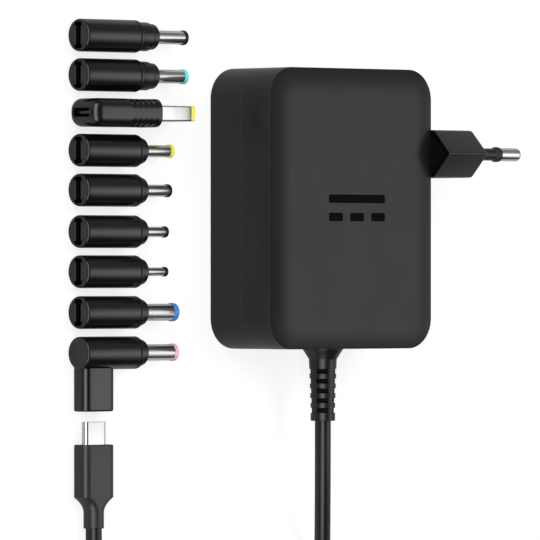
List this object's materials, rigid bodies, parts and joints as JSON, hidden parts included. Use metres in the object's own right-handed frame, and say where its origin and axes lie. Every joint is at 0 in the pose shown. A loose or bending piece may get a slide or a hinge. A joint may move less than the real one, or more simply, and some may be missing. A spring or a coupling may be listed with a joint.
{
  "type": "laptop power adapter",
  "caption": "Wall adapter with a flat two-pin mains plug, strain relief and round cord ending in a small symmetric plug, with interchangeable straight and elbow tips",
  "frame": {"origin": "centre of the flat back face of the case, on the surface that everything lies on", "axes": "+X towards the mains pins, -Y towards the cord's exit, +Z out of the front face"},
  "size_m": [0.1553, 0.2512, 0.0349],
  "materials": {
    "case": "fine satin moulded plastic",
    "black_insert": "satin",
    "brass": "bare",
    "pin_metal": "nickel plate",
    "sleeve_plastic": "satin",
    "cord_rubber": "smooth, slightly satin",
    "board": "green solder mask",
    "insulation": "translucent sheet",
    "ferrite": "sintered",
    "bobbin_plastic": "satin",
    "copper_wire": "enamelled",
    "spreader_metal": "rolled",
    "chip_plastic": "moulded",
    "can_metal": "sleeved can",
    "film_box": "moulded box",
    "fuse_ceramic": "white",
    "wire_rubber": "smooth",
    "tie_plastic": "woven strap",
    "plug_metal": "bright nickel",
    "cord_plug_plastic": "satin",
    "tip_plastic": "satin-gloss moulded plastic",
    "ring_black": "gloss",
    "ring_cyan": "gloss",
    "ring_yellow": "gloss",
    "ring_blue": "gloss",
    "ring_pink": "gloss"
  },
  "bodies": {
    "adapter": {"front_shell": "case", "rear_shell": "case", "plug_body": "case", "contact_carrier": "black_insert", "contact_strips": "brass", "mains_pins": "pin_metal", "pin_sleeves": "sleeve_plastic", "strain_relief": "cord_rubber", "circuit_board": "board", "insulating_sheet": "insulation", "transformer_core": "ferrite", "transformer_bobbin": "bobbin_plastic", "transformer_winding": "copper_wire", "heat_spreader": "spreader_metal", "thermal_pad": "insulation", "power_switch_chip": "chip_plastic", "bulk_capacitors": "can_metal", "output_capacitors": "can_metal", "output_choke": "ferrite", "control_chip": "chip_plastic", "line_choke": "copper_wire", "film_capacitor": "film_box", "fuse": "fuse_ceramic", "bridge_rectifier": "chip_plastic", "output_wires": "wire_rubber", "output_cord": "cord_rubber", "cord_coil": "cord_rubber", "cord_tail": "cord_rubber", "cord_tie": "tie_plastic", "usb_shell": "plug_metal", "usb_insert": "black_insert", "usb_housing": "cord_plug_plastic"},
    "tip_1": {"tip_1_body": "tip_plastic", "tip_1_barrel": "plug_metal", "tip_1_ring": "ring_black"},
    "tip_2": {"tip_2_body": "tip_plastic", "tip_2_barrel": "plug_metal", "tip_2_ring": "ring_cyan"},
    "tip_3": {"tip_3_body": "tip_plastic", "tip_3_barrel": "plug_metal", "tip_3_ring": "ring_yellow"},
    "tip_4": {"tip_4_body": "tip_plastic", "tip_4_barrel": "plug_metal", "tip_4_ring": "ring_yellow"},
    "tip_5": {"tip_5_body": "tip_plastic", "tip_5_barrel": "plug_metal", "tip_5_ring": "ring_black"},
    "tip_6": {"tip_6_body": "tip_plastic", "tip_6_barrel": "plug_metal", "tip_6_ring": "ring_black"},
    "tip_7": {"tip_7_body": "tip_plastic", "tip_7_barrel": "plug_metal", "tip_7_ring": "ring_black"},
    "tip_8": {"tip_8_body": "tip_plastic", "tip_8_barrel": "plug_metal", "tip_8_ring": "ring_blue"},
    "tip_9": {"tip_9_body": "tip_plastic", "tip_9_barrel": "plug_metal", "tip_9_ring": "ring_pink"}
  },
  "joints": [
    {"name": "tip_1_lift", "type": "slide", "parent": "adapter", "child": "tip_1", "axis": [0, 0, 1], "range_m": [0, 0.06]},
    {"name": "tip_2_lift", "type": "slide", "parent": "adapter", "child": "tip_2", "axis": [0, 0, 1], "range_m": [0, 0.06]},
    {"name": "tip_3_lift", "type": "slide", "parent": "adapter", "child": "tip_3", "axis": [0, 0, 1], "range_m": [0, 0.06]},
    {"name": "tip_4_lift", "type": "slide", "parent": "adapter", "child": "tip_4", "axis": [0, 0, 1], "range_m": [0, 0.06]},
    {"name": "tip_5_lift", "type": "slide", "parent": "adapter", "child": "tip_5", "axis": [0, 0, 1], "range_m": [0, 0.06]},
    {"name": "tip_6_lift", "type": "slide", "parent": "adapter", "child": "tip_6", "axis": [0, 0, 1], "range_m": [0, 0.06]},
    {"name": "tip_7_lift", "type": "slide", "parent": "adapter", "child": "tip_7", "axis": [0, 0, 1], "range_m": [0, 0.06]},
    {"name": "tip_8_lift", "type": "slide", "parent": "adapter", "child": "tip_8", "axis": [0, 0, 1], "range_m": [0, 0.06]},
    {"name": "tip_9_push_on", "type": "slide", "parent": "adapter", "child": "tip_9", "axis": [0, -1, 0], "range_m": [0, 0.00955]}
  ]
}
